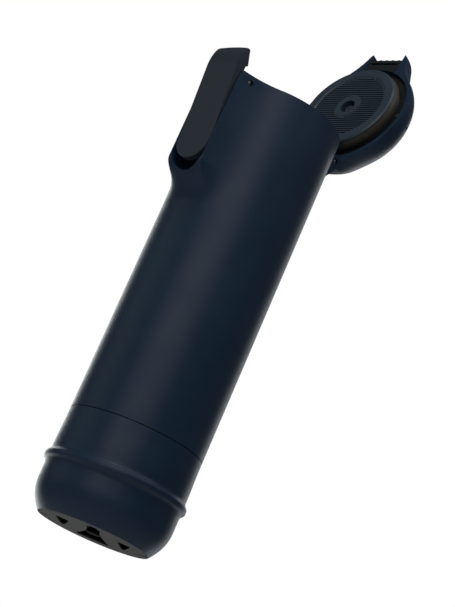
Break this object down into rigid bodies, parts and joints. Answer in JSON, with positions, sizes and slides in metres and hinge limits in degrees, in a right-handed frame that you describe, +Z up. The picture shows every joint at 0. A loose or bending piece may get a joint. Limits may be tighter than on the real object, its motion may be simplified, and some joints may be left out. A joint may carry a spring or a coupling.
{
  "type": "padel ball pressurizer",
  "caption": "Tall round bottle with a hinged domed lid, a rocker lever latch and a pull-out pump handle as its foot, which keeps stacked padel balls under air pressure.",
  "frame": {"origin": "centre of the foot, on the face that the bottle stands on", "axes": "+Z up along the bottle's axis, -Y towards the latch lever, +Y towards the lid hinge, +X along the hinge and latch pins"},
  "size_m": [0.0894, 0.1483, 0.3749],
  "materials": {
    "navy_shell": "soft matte, very dark navy",
    "charcoal_lever": "matte charcoal, slightly greener than the shells",
    "dark_plastic": "satin near-black",
    "foot_plastic": "satin dark grey with a grazing sheen",
    "seal_rubber": "dull olive brown",
    "white_plastic": "plain off-white, inside only",
    "steel": "bright, turned"
  },
  "bodies": {
    "bottle": {"body_shell": "navy_shell", "pressure_liner": "dark_plastic", "mouth_ring": "dark_plastic", "mouth_o_ring": "seal_rubber", "bulkhead": "dark_plastic", "bulkhead_o_ring": "seal_rubber", "check_valve_flap": "seal_rubber", "valve_guard": "dark_plastic", "guide_sleeve": "dark_plastic", "sleeve_screw_1": "steel", "sleeve_screw_2": "steel", "sleeve_screw_3": "steel", "sleeve_screw_4": "steel", "pump_barrel": "white_plastic", "barrel_end_cap": "dark_plastic", "hinge_pin": "steel", "latch_pin": "steel"},
    "lid": {"lid_shell": "navy_shell", "lid_inner_plate": "dark_plastic", "lid_plate_screw_1": "steel", "lid_plate_screw_2": "steel", "lid_plate_screw_3": "steel", "lid_plate_screw_4": "steel", "plug_carrier": "dark_plastic", "plug_gasket": "seal_rubber", "plug_screw": "steel", "catch_bar": "dark_plastic"},
    "latch": {"latch_lever": "charcoal_lever", "latch_spring": "steel"},
    "pump": {"handle_shell": "navy_shell", "foot_plate": "foot_plastic", "pump_rod": "steel", "piston": "white_plastic", "piston_o_ring": "seal_rubber", "rod_screw": "steel", "rod_cap": "dark_plastic", "foot_screw_1": "steel", "foot_screw_2": "steel", "handle_stop_ring": "white_plastic"}
  },
  "joints": [
    {"name": "lid_hinge", "type": "hinge", "parent": "bottle", "child": "lid", "pos_m": [0, 0.0459, 0.2786], "axis": [1, 0, 0], "range_deg": [0, 102]},
    {"name": "latch_pivot", "type": "hinge", "parent": "bottle", "child": "latch", "pos_m": [0, -0.0464, 0.2773], "axis": [1, 0, 0], "range_deg": [0, 8], "stiffness_Nm_per_rad": 0.5, "springref_deg": -9.74},
    {"name": "pump_slide", "type": "slide", "parent": "bottle", "child": "pump", "axis": [0, 0, -1], "range_m": [0, 0.039]}
  ]
}
